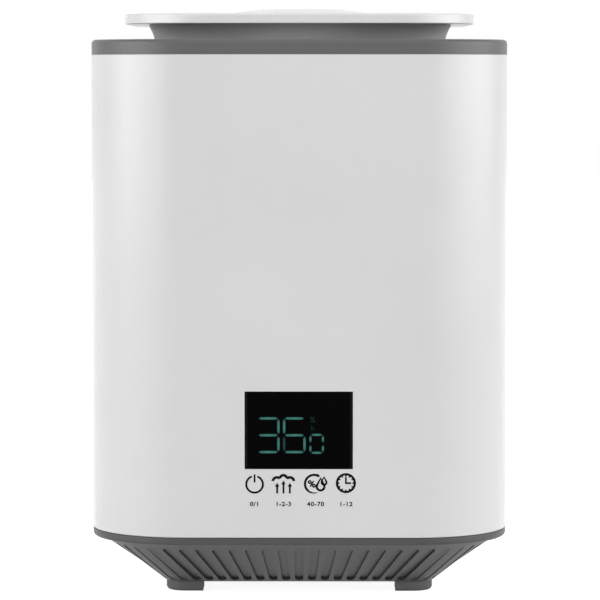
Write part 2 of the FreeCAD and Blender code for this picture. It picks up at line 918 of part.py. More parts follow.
def bare_board(side):
    x = side * board_offset
    reach = board_length / 2
    board = block(x - board_width / 2, x + board_width / 2, -reach, reach, z_board, z_parts)
    hole = small_screw_radius + slip
    holes = [rod(hole, z_board - overshoot, z_parts + overshoot, hx, hy) for hx, hy in board_hole_places()]
    return board.cut(holes)


def driver_board():
    return bare_board(1)


def power_board():
    return bare_board(-1)


def connector(x, y):
    x0, y0 = x - connector_width / 2, y - connector_length / 2
    return block(x0, x0 + connector_width, y0, y0 + connector_length, z_parts, z_parts + connector_height)


connector_line = board_length / 2 - 2 * standoff_radius - small_head_radius - connector_length / 2
# The tall parts of a board stand behind the connector line
parts_front = connector_line - 2 * connector_length


def power_components():
    x = -board_offset
    y1 = parts_front
    y0 = y1 - transformer_length
    x0, x1 = x - transformer_width / 2, x + transformer_width / 2
    core = block(x0, x1, y0, y1, z_parts, z_parts + transformer_height)
    can_y = y0 - capacitor_radius - slip
    can = rod(capacitor_radius, z_parts, z_parts + capacitor_height, x, can_y)
    return group([core, can, connector(x, connector_line), connector(x, -connector_line)])


def sink_width():
    return fin_count * fin_thickness + (fin_count - 1) * fin_gap


def heat_sink():
    x0 = board_offset - sink_width() / 2
    y1 = parts_front
    y0 = y1 - fin_length
    foot = block(x0, x0 + sink_width(), y0, y1, z_parts, z_parts + fin_base)
    fins = []
    for step in range(fin_count):
        x = x0 + step * (fin_thickness + fin_gap)
        fins.append(block(x, x + fin_thickness, y0, y1, z_parts, z_parts + fin_height))
    return joined([foot] + fins)


def driver_components():
    x = board_offset
    coil_y = parts_front - fin_length - coil_radius - slip
    coil = ring(coil_radius, coil_radius / 2, z_parts, z_parts + coil_height, x, coil_y)
    return group([coil, connector(x, connector_line), connector(x, -connector_line)])


def board_screws():
    one = small_screw(small_screw_length)
    return group([placed(one, Vector(x, y, z_parts), down) for x, y in board_hole_places()])


def humidity_sensor():
    x, y, z = sensor_width / 2, sensor_length / 2, z_base + peg_height
    z_can = z + board_thickness
    can = sensor_can / 2
    board = block(-x, x, -sensor_setback - y, -sensor_setback + y, z, z_can)
    case = block(-can, can, -sensor_setback - can, -sensor_setback + can, z_can, z_can + sensor_can_height)
    return joined([board, case])


# Leads between the boards

def display_cable():
    y_socket = y_board_back + connector_length
    z_socket = display_low + board_edge + connector_height / 2
    z_plug = z_parts + connector_height
    points = [(0, y_socket, z_socket), (0, -cable_setback, z_socket)]
    points.append((-board_offset, -connector_line, z_socket - cable_drop))
    points.append((-board_offset, -connector_line, z_plug))
    return lead(points, lead_radius)


def transducer_lead():
    z_plug = z_parts + connector_height
    z_disc = z_seal + seal_lip
    points = [(board_offset, -connector_line, z_plug)]
    points.append((board_offset, -connector_line, z_plug + plug_rise))
    points.append((0, 0, z_clamp - disc_drop))
    points.append((0, 0, z_disc))
    return lead(points, lead_radius)


def fan_lead():
    z_plug = z_parts + connector_height
    z_frame = z_fan + fan_depth / 2
    x_frame = -fan_size / 2
    x_drop = x_frame - 2 * lead_bend - lead_radius
    points = [(-board_offset, connector_line, z_plug), (-board_offset, connector_line, z_plug + lead_rise)]
    points.append((x_drop, fan_setback, z_plug + lead_rise))
    points.append((x_drop, fan_setback, z_frame))
    points.append((x_frame, fan_setback, z_frame))
    return lead(points, lead_radius)


# Water tank with its mist tube, valve and top cover

def water_tank():
    tub = prism(tank_half, tank_corner, z_tank, z_tank_top)
    tub = tub.cut(prism(tank_half - tank_wall, tank_corner - tank_wall, z_tank_floor, z_tank_top))
    collar = rod(tube_radius + collar_wall, z_tank_floor - sink, z_tank_floor + collar_height)
    cuts = [rod(tube_radius, z_tank - overshoot, z_tank_floor + collar_height + overshoot)]
    cuts.append(rod(throat_radius, z_tank - overshoot, z_tank_floor + overshoot, -valve_offset))
    return joined([tub, collar]).cut(cuts)


def mist_tube():
    return ring(tube_radius, tube_radius - tube_wall, z_tank, z_deck + tube_rise)


def tube_seal():
    z0 = z_tank_floor + collar_height
    return ring(tube_radius + tube_seal_width, tube_radius, z0, z0 + tube_seal_height)


z_seat = z_tank_floor + throat_flange_height
z_valve_seal = z_seat + valve_travel
z_plunger = z_valve_seal + valve_seal_height
z_spring = z_plunger + plunger_height
z_bridge = z_spring + spring_height
z_bridge_top = z_bridge + bridge_height
bridge_reach = plunger_radius + 2 * slip + bridge_leg_radius
bridge_radius = bridge_reach + bridge_leg_radius + sink


def valve_housing():
    throat = rod(throat_radius, z_tank, z_tank_floor, -valve_offset)
    flange = rod(throat_radius + throat_flange, z_tank_floor, z_seat, -valve_offset)
    bridge = rod(bridge_radius, z_bridge, z_bridge_top, -valve_offset)
    legs = []
    for step in range(bridge_legs):
        angle = math.radians(360 * step / bridge_legs)
        x, y = bridge_reach * math.cos(angle) - valve_offset, bridge_reach * math.sin(angle)
        legs.append(rod(bridge_leg_radius, z_seat, z_bridge, x, y))
    cuts = [rod(throat_bore, z_tank - overshoot, z_seat + overshoot, -valve_offset)]
    cuts.append(rod(stem_radius + slip, z_bridge - overshoot, z_bridge_top + overshoot, -valve_offset))
    return joined([throat, flange, bridge] + legs).cut(cuts)


def valve_plunger():
    stem = rod(stem_radius, z_tip, z_bridge_top + stem_reach, -valve_offset)
    return joined([stem, rod(plunger_radius, z_plunger, z_spring, -valve_offset)])


def valve_seal():
    return ring(plunger_radius, stem_radius, z_valve_seal, z_plunger, -valve_offset)


def helix_point(angle, z_low, pitch):
    x = spring_radius * math.cos(angle) - valve_offset
    y = spring_radius * math.sin(angle)
    return Vector(x, y, z_low + pitch * angle / (2 * math.pi))


def valve_spring():
    z_low = z_spring + spring_wire + running
    pitch = (spring_height - 2 * spring_wire - 2 * running) / spring_turns
    quarter = math.pi / 2
    edges = []
    for step in range(4 * spring_turns):
        start, bend, end = [helix_point((step + part) * quarter, z_low, pitch) for part in (0, 0.5, 1)]
        edges.append(Part.Arc(start, bend, end).toShape())
    path = Part.Wire(edges)
    section = Part.Circle(helix_point(0, z_low, pitch), Vector(0, 1, 0), spring_wire)
    return path.makePipeShell([Part.Wire(section.toShape())], True, False)


def neck_profile():
    # The neck's outer side is hollow, so that the lid's edge can be gripped.
    low_out = Vector(neck_radius, 0, z_tank_top - neck_foot_height)
    deck_out = Vector(neck_radius, 0, z_deck)
    middle_radius = neck_radius + neck_flare / 2 - neck_sag
    waist = Vector(middle_radius, 0, (z_deck + z_lid) / 2)
    top_out = Vector(neck_radius + neck_flare, 0, z_lid)
    inward = Vector(neck_wall, 0, 0)
    edges = [Part.LineSegment(low_out, deck_out).toShape()]
    edges.append(Part.Arc(deck_out, waist, top_out).toShape())
    edges.append(Part.LineSegment(top_out, top_out - inward).toShape())
    edges.append(Part.Arc(top_out - inward, waist - inward, deck_out - inward).toShape())
    edges.append(Part.LineSegment(deck_out - inward, low_out - inward).toShape())
    edges.append(Part.LineSegment(low_out - inward, low_out).toShape())
    return Part.Face(Part.Wire(edges))


def top_cover():
    band = prism(half, body_corner, z_rim, z_deck)
    band = band.makeFillet(rim_round, edges_at(band, z_deck))
    band = band.cut(prism(tank_half, tank_corner, z_rim, z_tank_top))
    band = band.cut(rod(neck_radius, z_tank_top, z_deck))
    rib_half = tank_half - tank_wall - slip
    rib_corner = tank_corner - tank_wall - slip
    z_rib = z_tank_top - cover_rib_depth
    rib = prism(rib_half, rib_corner, z_rib, z_tank_top)
    rib = rib.cut(prism(rib_half - cover_rib_wall, rib_corner - cover_rib_wall, z_rib, z_tank_top))
    return joined([band, rib])


def filler_neck():
    neck = neck_profile().revolve(middle, up, 360)
    z_foot = z_tank_top - neck_foot_height
    return joined([neck, ring(neck_radius + neck_foot, neck_radius - neck_wall, z_foot, z_tank_top)])


# Lid and mist outlet

lid_spigot_radius = neck_radius - neck_wall - slip
z_lid_seal = z_lid - lid_spigot_depth + lid_seal_height
z_stem = z_lid - slip - clip_height - clip_margin
z_under = z_lid_top + slip
lid_duct_radius = outlet_stem_radius + clip_width + lid_duct_wall + lid_duct_gap


def lid_seal():
    inner = lid_spigot_radius - lid_seal_groove
    return ring(lid_spigot_radius, inner, z_lid_seal, z_lid_seal + lid_seal_height)


def lid():
    plate = prism(lid_width / 2, lid_corner, z_lid, z_lid_top)
    plate = plate.makeFillet(lid_top_round, edges_at(plate, z_lid_top))
    plate = plate.makeFillet(lid_under_round, edges_at(plate, z_lid))
    return plate.cut(rod(outlet_stem_radius + slip, z_lid - overshoot, z_lid_top + overshoot))


def lid_spigot():
    inner = lid_spigot_radius - lid_spigot_wall
    return ring(lid_spigot_radius, inner, z_lid - lid_spigot_depth, z_lid).cut(lid_seal())


def lid_duct():
    return ring(lid_duct_radius, lid_duct_radius - lid_duct_wall, z_lid - lid_duct_depth, z_lid)


def mist_nozzle():
    outer = [(outlet_stem_radius, z_stem), (outlet_stem_radius, z_under), (outlet_radius, z_under)]
    outer += [(outlet_radius, z_under + outlet_edge), (outlet_flat, z_top), (0, z_top)]
    bore = outlet_stem_radius - outlet_stem_wall
    inner = [(0, z_top - outlet_cap), (bore, z_top - outlet_cap), (bore, z_stem)]
    body = lathe(outer + inner)
    reach = (outlet_slot_length - outlet_slot_width) / 2
    slot_half = outlet_slot_width / 2
    y0, y1 = -outlet_slot_offset - slot_half, -outlet_slot_offset + slot_half
    cuts = [block(-reach, reach, y0, y1, z_stem, z_top + overshoot), nozzle_clip()]
    cuts += [rod(slot_half, z_stem, z_top + overshoot, side * reach, -outlet_slot_offset) for side in (-1, 1)]
    return body.cut(cuts)


def nozzle_clip():
    z_clip = z_stem + clip_margin
    inner = outlet_stem_radius - clip_groove
    return ring(outlet_stem_radius + clip_width, inner, z_clip, z_clip + clip_height)


pieces = [
    base_housing, base_plate, rubber_feet, outer_shell, shell_screws, cord_gland,
    display_window, display_bracket, display_board, led_module, touch_springs, display_screws,
    nebuliser_chamber, air_pipe, chassis_screws, transducer_disc, transducer_seal, transducer_clamp,
    clamp_screws, reed_switch, float_ring, float_magnet,
    fan_frame, fan_bush, fan_stator, fan_rotor, fan_duct, duct_gasket, fan_screws,
    power_board, power_components, driver_board, driver_components, heat_sink, board_screws,
    humidity_sensor, display_cable, transducer_lead, fan_lead,
    water_tank, mist_tube, tube_seal, valve_housing, valve_plunger, valve_seal, valve_spring, top_cover,
    filler_neck, lid, lid_spigot, lid_duct, lid_seal, mist_nozzle, nozzle_clip,
]

os.makedirs("parts", exist_ok=True)
for piece in pieces:
    piece().exportStep("parts/" + piece.__name__ + ".step")
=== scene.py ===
import json
import math

import bmesh
import bpy
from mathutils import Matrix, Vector

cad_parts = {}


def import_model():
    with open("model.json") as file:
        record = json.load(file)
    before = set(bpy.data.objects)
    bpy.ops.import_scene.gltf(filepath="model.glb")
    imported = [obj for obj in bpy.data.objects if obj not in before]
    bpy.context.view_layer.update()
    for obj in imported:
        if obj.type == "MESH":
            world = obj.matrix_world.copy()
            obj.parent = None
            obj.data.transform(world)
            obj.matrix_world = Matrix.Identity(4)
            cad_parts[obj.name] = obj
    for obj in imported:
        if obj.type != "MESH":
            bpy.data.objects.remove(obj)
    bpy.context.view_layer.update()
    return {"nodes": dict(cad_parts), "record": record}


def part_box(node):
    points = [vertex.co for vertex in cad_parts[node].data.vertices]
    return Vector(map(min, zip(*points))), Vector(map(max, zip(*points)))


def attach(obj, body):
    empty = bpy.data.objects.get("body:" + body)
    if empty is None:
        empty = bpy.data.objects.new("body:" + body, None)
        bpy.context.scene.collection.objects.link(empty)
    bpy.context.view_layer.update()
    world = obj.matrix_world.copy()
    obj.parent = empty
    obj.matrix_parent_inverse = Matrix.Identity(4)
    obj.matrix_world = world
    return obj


# Table-top humidifier: finishes for every CAD piece, the printed signs, the lit digits, light and camera.
# Metres, +Z up, the display faces -Y.

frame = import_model()
nodes = frame["nodes"]
mm = 0.001

# Places taken from the frame
window_low, window_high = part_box("display_window")
front_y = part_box("outer_shell")[0].y
window_flange = 2.5 * mm
window_left = window_low.x + window_flange
window_bottom = window_low.z + window_flange

# Camera, fitted to the photograph's vertical edges
camera_distance = 1.65
camera_yaw = math.radians(0.34)
camera_height = 0.2513
camera_pitch = math.radians(3.97)
camera_lens = 198.3
camera_sensor = 36.0
camera_reach = 30.0


# Node helpers

# The middle stretch of a noise, which is spread over a material's whole variation
noise_low, noise_high = 0.3, 0.7
# Sockets of a Mix node, which shares its names between numbers and colours
mix_share, mix_first, mix_second, mix_out = 0, 2, 3, 0
mix_first_colour, mix_second_colour, mix_colour_out = 6, 7, 2


def new_material(name):
    material = bpy.data.materials.new(name)
    material.use_nodes = True
    tree = material.node_tree
    shader = tree.nodes["Principled BSDF"]
    return material, tree, shader


def add(tree, kind, **values):
    node = tree.nodes.new(kind)
    for key, value in values.items():
        if key in node.inputs:
            node.inputs[key].default_value = value
        else:
            setattr(node, key, value)
    return node


def object_noise(tree, scale, detail=4.0):
    place = add(tree, "ShaderNodeTexCoord")
    noise = add(tree, "ShaderNodeTexNoise", Scale=scale, Detail=detail)
    tree.links.new(place.outputs["Object"], noise.inputs["Vector"])
    return noise.outputs["Fac"]


def vary(tree, source, low, high, socket):
    spread = add(tree, "ShaderNodeMapRange")
    spread.inputs["From Min"].default_value = noise_low
    spread.inputs["From Max"].default_value = noise_high
    spread.inputs["To Min"].default_value = low
    spread.inputs["To Max"].default_value = high
    tree.links.new(source, spread.inputs["Value"])
    tree.links.new(spread.outputs["Result"], socket)


def tone(tree, source, dark, light, socket):
    ramp = add(tree, "ShaderNodeValToRGB")
    first, last = ramp.color_ramp.elements
    first.position, last.position = noise_low, noise_high
    first.color, last.color = (*dark, 1), (*light, 1)
    tree.links.new(source, ramp.inputs["Fac"])
    tree.links.new(ramp.outputs["Color"], socket)


def bump(tree, shader, source, depth, strength=1.0):
    node = add(tree, "ShaderNodeBump", Strength=strength, Distance=depth)
    tree.links.new(source, node.inputs["Height"])
    tree.links.new(node.outputs["Normal"], shader.inputs["Normal"])


def shade(colour, factor):
    return tuple(min(1.0, channel * factor) for channel in colour)


# Materials

def moulded(name, colour, roughness, grain=900.0, depth=0.02 * mm, spread=0.03, coat=0.0, specular=0.5):
    material, tree, shader = new_material(name)
    cloud = object_noise(tree, 14.0)
    tone(tree, cloud, shade(colour, 0.975), shade(colour, 1.02), shader.inputs["Base Color"])
    fine = object_noise(tree, grain, 3.0)
    vary(tree, fine, roughness - spread, roughness + spread, shader.inputs["Roughness"])
    bump(tree, shader, fine, depth)
    shader.inputs["Coat Weight"].default_value = coat
    shader.inputs["Coat Roughness"].default_value = 0.08
    shader.inputs["Specular IOR Level"].default_value = specular
    return material


def upright_lines(tree, centre, reach, width):
    # 1 on two upright lines, one at each side of the centre.
    place = add(tree, "ShaderNodeTexCoord")
    split = add(tree, "ShaderNodeSeparateXYZ")
    tree.links.new(place.outputs["Object"], split.inputs["Vector"])
    shift = add(tree, "ShaderNodeMath", operation="SUBTRACT")
    shift.inputs[1].default_value = centre
    tree.links.new(split.outputs["X"], shift.inputs[0])
    distance = add(tree, "ShaderNodeMath", operation="ABSOLUTE")
    tree.links.new(shift.outputs["Value"], distance.inputs[0])
    line = add(tree, "ShaderNodeMath", operation="COMPARE")
    line.inputs[1].default_value = reach
    line.inputs[2].default_value = width / 2
    tree.links.new(distance.outputs["Value"], line.inputs[0])
    return line.outputs["Value"]


# The window and the lit bars on it mirror almost nothing.
window_specular = 0.012


def smoked_window():
    # Painted highlight: the colour is lighter on two upright lines at the bevel along the window's upright
    # edges, where it catches a little light.
    painted_highlight_inset, painted_highlight_width = 0.9 * mm, 0.5 * mm
    material, tree, shader = new_material("smoked_window")
    smudge = object_noise(tree, 45.0, 6.0)
    smudge_and_painted_highlight = add(tree, "ShaderNodeMix", data_type="RGBA")
    tone(tree, smudge, (0.0014, 0.0014, 0.0015), (0.0020, 0.0020, 0.0021), smudge_and_painted_highlight.inputs[mix_first_colour])
    # Colour of the painted highlight on the bevel lines
    smudge_and_painted_highlight.inputs[mix_second_colour].default_value = (0.016, 0.016, 0.017, 1)
    centre = (window_low.x + window_high.x) / 2
    reach = window_high.x - window_flange - centre - painted_highlight_inset
    tree.links.new(upright_lines(tree, centre, reach, painted_highlight_width), smudge_and_painted_highlight.inputs[mix_share])
    tree.links.new(smudge_and_painted_highlight.outputs[mix_colour_out], shader.inputs["Base Color"])
    vary(tree, smudge, 0.05, 0.11, shader.inputs["Roughness"])
    shader.inputs["Specular IOR Level"].default_value = window_specular
    return material


def glowing(name, colour):
    # The glow fades towards the ends of each lit bar, as a light guide does.
    end_share = 0.42
    material, tree, shader = new_material(name)
    glow = add(tree, "ShaderNodeAttribute", attribute_name="glow")
    tone(tree, glow.outputs["Fac"], shade(colour, end_share), colour, shader.inputs["Emission Color"])
    shader.inputs["Emission Strength"].default_value = 1.0
    shader.inputs["Base Color"].default_value = (0.002, 0.002, 0.002, 1)
    shader.inputs["Roughness"].default_value = 0.4
    shader.inputs["Specular IOR Level"].default_value = window_specular
    return material


def ink():
    material, tree, shader = new_material("print_ink")
    speck = object_noise(tree, 2200.0)
    tone(tree, speck, (0.004, 0.004, 0.004), (0.010, 0.010, 0.010), shader.inputs["Base Color"])
    vary(tree, speck, 0.35, 0.55, shader.inputs["Roughness"])
    shader.inputs["Specular IOR Level"].default_value = 0.05
    return material


def frosted_tank():
    material, tree, shader = new_material("frosted_tank")
    cloud = object_noise(tree, 60.0)
    tone(tree, cloud, (0.74, 0.82, 0.85), (0.82, 0.88, 0.90), shader.inputs["Base Color"])
    fine = object_noise(tree, 1500.0)
    vary(tree, fine, 0.28, 0.40, shader.inputs["Roughness"])
    bump(tree, shader, fine, 0.03 * mm)
    shader.inputs["Transmission Weight"].default_value = 0.55
    shader.inputs["IOR"].default_value = 1.45
    return material


def metal(name, colour, roughness, stretch=(900.0, 900.0, 25.0)):
    # Fine drawn lines along the height, with an uneven sheen.
    material, tree, shader = new_material(name)
    place = add(tree, "ShaderNodeTexCoord")
    scale = add(tree, "ShaderNodeMapping")
    scale.inputs["Scale"].default_value = stretch
    noise = add(tree, "ShaderNodeTexNoise", Scale=1.0, Detail=4.0)
    tree.links.new(place.outputs["Object"], scale.inputs["Vector"])
    tree.links.new(scale.outputs["Vector"], noise.inputs["Vector"])
    lines = noise.outputs["Fac"]
    tone(tree, lines, shade(colour, 0.85), shade(colour, 1.08), shader.inputs["Base Color"])
    vary(tree, lines, roughness - 0.08, roughness + 0.08, shader.inputs["Roughness"])
    bump(tree, shader, lines, 0.01 * mm)
    shader.inputs["Metallic"].default_value = 1.0
    return material


def winding():
    material, tree, shader = new_material("copper_winding")
    place = add(tree, "ShaderNodeTexCoord")
    wave = add(tree, "ShaderNodeTexWave", Scale=900.0, Distortion=0.6)
    wave.bands_direction = "Z"
    tree.links.new(place.outputs["Object"], wave.inputs["Vector"])
    # Bands along the height stand for the turns of wire. The colour is darker in the grooves between turns,
    # which is painted shade, and copper-coloured on their crowns.
    tone(tree, wave.outputs["Fac"], (0.20, 0.07, 0.02), (0.62, 0.28, 0.12), shader.inputs["Base Color"])
    bump(tree, shader, wave.outputs["Fac"], 0.1 * mm)
    shader.inputs["Metallic"].default_value = 0.7
    shader.inputs["Roughness"].default_value = 0.35
    return material


def circuit_board():
    material, tree, shader = new_material("circuit_board")
    place = add(tree, "ShaderNodeTexCoord")
    tracks = add(tree, "ShaderNodeTexBrick", Scale=140.0)
    tracks.inputs["Color1"].default_value = (0.010, 0.085, 0.035, 1)
    tracks.inputs["Color2"].default_value = (0.014, 0.110, 0.045, 1)
    tracks.inputs["Mortar"].default_value = (0.030, 0.190, 0.080, 1)
    tracks.inputs["Mortar Size"].default_value = 0.05
    tree.links.new(place.outputs["Object"], tracks.inputs["Vector"])
    tree.links.new(tracks.outputs["Color"], shader.inputs["Base Color"])
    bump(tree, shader, tracks.outputs["Fac"], 0.03 * mm)
    shader.inputs["Roughness"].default_value = 0.32
    return material


def soft_rubber(name, colour, roughness=0.7):
    material, tree, shader = new_material(name)
    fine = object_noise(tree, 1400.0)
    tone(tree, fine, shade(colour, 0.88), shade(colour, 1.08), shader.inputs["Base Color"])
    vary(tree, fine, roughness - 0.08, roughness + 0.08, shader.inputs["Roughness"])
    bump(tree, shader, fine, 0.04 * mm)
    shader.inputs["Specular IOR Level"].default_value = 0.3
    return material


def clear_glass():
    material, tree, shader = new_material("clear_glass")
    ripple = object_noise(tree, 300.0)
    tone(tree, ripple, (0.80, 0.90, 0.86), (0.90, 0.96, 0.93), shader.inputs["Base Color"])
    vary(tree, ripple, 0.02, 0.06, shader.inputs["Roughness"])
    shader.inputs["Transmission Weight"].default_value = 0.9
    return material


white = (0.79, 0.79, 0.79)
# Dark grey plastic of the base, set darker than the cover's grey: the difference is painted shade on the
# base.
base_grey_with_painted_shade = (0.050, 0.0503, 0.051)
grey = (0.078, 0.0784, 0.0795)
light_grey = (0.50, 0.502, 0.507)
inner_tone = (0.72, 0.72, 0.70)
black_tone = (0.018, 0.018, 0.019)
ferrite = (0.03, 0.03, 0.032)
gloss = {"grain": 500.0, "depth": 0.004 * mm, "spread": 0.02}
satin = {"grain": 1600.0, "depth": 0.02 * mm, "spread": 0.05}
coarse = {"grain": 1600.0, "depth": 0.03 * mm, "spread": 0.05}
slots = {
    "shell_white": moulded("shell_white", white, 0.20, **gloss, specular=0.9),
    "lid_white": moulded("lid_white", white, 0.22, **gloss, coat=0.6, specular=0.8),
    "base_grey": moulded("base_grey", base_grey_with_painted_shade, 0.42, **coarse, specular=0.60),
    "cover_grey": moulded("cover_grey", grey, 0.38, **satin, specular=0.85),
    "neck_grey": moulded("neck_grey", light_grey, 0.34, **satin, coat=0.5, specular=1.0),
    "foot_rubber": soft_rubber("foot_rubber", (0.13, 0.13, 0.132)),
    "window_black": smoked_window(),
    "tank_clear": frosted_tank(),
    "inner_white": moulded("inner_white", inner_tone, 0.42, grain=1300.0),
    "black_plastic": moulded("black_plastic", black_tone, 0.45, grain=1500.0, depth=0.04 * mm, spread=0.06),
    "silicone": soft_rubber("silicone", (0.62, 0.62, 0.58), 0.45),
    "steel": metal("steel", (0.56, 0.56, 0.57), 0.32),
    "sink_aluminium": metal("sink_aluminium", (0.74, 0.75, 0.77), 0.38),
    "bush_brass": metal("bush_brass", (0.68, 0.50, 0.22), 0.30),
    "copper_winding": winding(),
    "disc_ceramic": metal("disc_ceramic", (0.70, 0.68, 0.62), 0.36, (400.0, 400.0, 400.0)),
    "reed_glass": clear_glass(),
    "magnet_black": moulded("magnet_black", ferrite, 0.35, grain=1800.0, depth=0.05 * mm, spread=0.08),
    "board_green": circuit_board(),
    "lead_black": soft_rubber("lead_black", (0.016, 0.016, 0.017), 0.5),
}


def dress_nodes():
    for row in frame["record"]["subparts"]:
        mesh = nodes[row["node"]].data
        mesh.materials.clear()
        mesh.materials.append(slots[row["material_slot"]])


# Flat prints and lit bars on the front wall

print_height = 0.04 * mm


def front_object(name, parts, y, material):
    # Joins flat meshes that are drawn in the XZ plane into one thin raised piece.
    mesh = bpy.data.meshes.new(name)
    whole = bmesh.new()
    for part in parts:
        whole.from_mesh(part)
        bpy.data.meshes.remove(part)
    whole.to_mesh(mesh)
    whole.free()
    mesh.materials.append(material)
    piece = bpy.data.objects.new(name, mesh)
    piece.location.y = y
    bpy.context.scene.collection.objects.link(piece)
    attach(piece, "housing")
    return piece


def flat_mesh(outline):
    # A closed plate: the outline at the wall and again a little in front of it.
    mesh = bpy.data.meshes.new("flat")
    plate = bmesh.new()
    back = [plate.verts.new((x, 0, z)) for x, z in outline]
    face = plate.faces.new(back)
    lifted = bmesh.ops.extrude_face_region(plate, geom=[face])["geom"]
    for item in lifted:
        if isinstance(item, bmesh.types.BMVert):
            item.co.y -= print_height
    bmesh.ops.recalc_face_normals(plate, faces=plate.faces)
    plate.to_mesh(mesh)
    plate.free()
    return mesh


def arc_points(centre, radius, start, end, steps=24):
    turns = [math.radians(start + (end - start) * step / steps) for step in range(steps + 1)]
    return [(centre[0] + radius * math.cos(a), centre[1] + radius * math.sin(a)) for a in turns]


def stroke(points, width, closed=False, end_width=None):
    # A line of even width, or one that thins towards its end, with a mitred outline.
    count = len(points)
    left, right = [], []
    for step, point in enumerate(points):
        before = points[step - 1] if step or closed else point
        after = points[(step + 1) % count] if step < count - 1 or closed else point
        along = Vector((after[0] - before[0], after[1] - before[1])).normalized()
        share = step / (count - 1)
        half = (width + ((end_width or width) - width) * share) / 2
        side = Vector((-along.y, along.x)) * half
        left.append((point[0] + side.x, point[1] + side.y))
        right.append((point[0] - side.x, point[1] - side.y))
    if closed:
        return ring_mesh(left, right)
    return flat_mesh(left + right[::-1])


def ring_mesh(outer, inner):
    mesh = bpy.data.meshes.new("ring")
    plate = bmesh.new()
    levels = []
    for y in (0, -print_height):
        for loop in (outer, inner):
            levels.append([plate.verts.new((x, y, z)) for x, z in loop])
    back_out, back_in, face_out, face_in = levels
    strips = ((face_out, face_in), (back_in, back_out), (back_out, face_out), (face_in, back_in))
    count = len(outer)
    for step in range(count):
        after = (step + 1) % count
        for first, second in strips:
            plate.faces.new((first[step], first[after], second[after], second[step]))
    bmesh.ops.recalc_face_normals(plate, faces=plate.faces)
    plate.to_mesh(mesh)
    plate.free()
    return mesh


def circle(centre, radius, width):
    points = arc_points(centre, radius, 0, 360, 48)[:-1]
    return stroke(points, width, closed=True)


# A numeral's height over the type size, the space between letters, and the swelling of their strokes
cap_share, letter_space, letter_weight = 0.70, 1.12, 0.042


def text_mesh(words, centre, height, stretch=1.0):
    curve = bpy.data.curves.new("words", "FONT")
    curve.body = words
    curve.align_x = "CENTER"
    curve.size = height / cap_share
    curve.space_character = letter_space
    curve.offset = letter_weight * height
    curve.extrude = print_height / 2
    holder = bpy.data.objects.new("words", curve)
    bpy.context.scene.collection.objects.link(holder)
    bpy.context.view_layer.update()
    drawn = holder.evaluated_get(bpy.context.evaluated_depsgraph_get())
    mesh = bpy.data.meshes.new_from_object(drawn)
    bpy.data.objects.remove(holder)
    bpy.data.curves.remove(curve)
    for vertex in mesh.vertices:
        x, z, lift = vertex.co
        vertex.co = (centre[0] + x * stretch, -lift - print_height / 2, centre[1] - height / 2 + z)
    mesh.materials.clear()
    return mesh


def power_sign(x, z):
    radius, width, gap = 3.93 * mm, 0.98 * mm, 19.0
    bar_top, bar_foot, bar_width = 4.75 * mm, 0.9 * mm, 0.85 * mm
    parts = [stroke(arc_points((x, z), radius, 90 + gap, 450 - gap, 48), width)]
    parts.append(stroke([(x, z + bar_top), (x, z + bar_foot)], bar_width))
    return parts


def mist_sign(x, z):
    # A cloud of three arcs over three upright arrows.
    width, shaft, low = 1.3 * mm, 0.9 * mm, z - 4.5 * mm
    side_reach, side_lift, side_radius = 3.03 * mm, 1.15 * mm, 1.97 * mm
    crown_lift, crown_radius = 2.45 * mm, 1.68 * mm
    parts = [stroke(arc_points((x - side_reach, z + side_lift), side_radius, 174, 45), width)]
    parts.append(stroke(arc_points((x, z + crown_lift), crown_radius, 172, 8), width))
    parts.append(stroke(arc_points((x + side_reach, z + side_lift), side_radius, 135, 6), width))
    head_half, head_length = 1.05 * mm, 1.9 * mm
    for offset, rise in ((-2.95 * mm, 5.1 * mm), (0.05 * mm, 6.2 * mm), (3.05 * mm, 5.1 * mm)):
        middle, tip = x + offset, low + rise
        neck = tip - head_length
        parts.append(stroke([(middle, low), (middle, neck)], shaft))
        parts.append(flat_mesh([(middle - head_half, neck), (middle, tip), (middle + head_half, neck)]))
    return parts


def droplet(x, z, radius, tip, width):
    # A round bottom whose sides run straight to the tip.
    lean = math.degrees(math.acos(radius / tip))
    sides = arc_points((x, z), radius, 90 + lean, 450 - lean, 30)
    return stroke([(x, z + tip)] + sides, width, closed=True)


def humidity_sign(x, z):
    # A percent sign and two drops in a ring that thins towards its end.
    def at(across, up):
        return x + across * mm, z + up * mm

    centre, radius, width, thin_end = at(-0.7, 0), 4.3 * mm, 1.1 * mm, 0.3 * mm
    arrow_head = [at(0.9, 5.0), at(2.3, 3.6), at(0.7, 3.1)]
    slash, dots = [at(-0.9, 1.4), at(-2.6, -1.3)], (at(-2.75, 0.9), at(-0.8, -0.85))
    dot_radius, line = 0.6 * mm, 0.7 * mm
    parts = [stroke(arc_points(centre, radius, 66, 215, 30), width)]
    parts.append(stroke(arc_points(centre, radius, 215, 292, 20), width, end_width=thin_end))
    parts.append(flat_mesh(arrow_head))
    parts.append(stroke(slash, line))
    parts += [circle(dot, dot_radius, line) for dot in dots]
    parts.append(droplet(*at(2.35, -1.25), radius=1.8 * mm, tip=3.9 * mm, width=1.05 * mm))
    parts.append(droplet(*at(4.0, 0.75), radius=1.15 * mm, tip=2.5 * mm, width=0.9 * mm))
    return parts


def clock_sign(x, z):
    radius, width, hours = 4.22 * mm, 1.1 * mm, 12
    tick_inset, tick_width = 1.15 * mm, 0.75 * mm
    minute_hand, hour_hand, half_width = 2.9 * mm, 2.5 * mm, 0.42 * mm
    parts = [circle((x, z), radius, width)]
    for hour in range(hours):
        angle = 2 * math.pi * hour / hours
        reach_in, reach_out = radius - tick_inset, radius - width / 2
        ends = [(x + r * math.sin(angle), z + r * math.cos(angle)) for r in (reach_in, reach_out)]
        parts.append(stroke(ends, tick_width))
    parts.append(stroke([(x, z - half_width), (x, z + minute_hand)], 2 * half_width))
    parts.append(stroke([(x - half_width, z), (x + hour_hand, z)], 2 * half_width))
    return parts


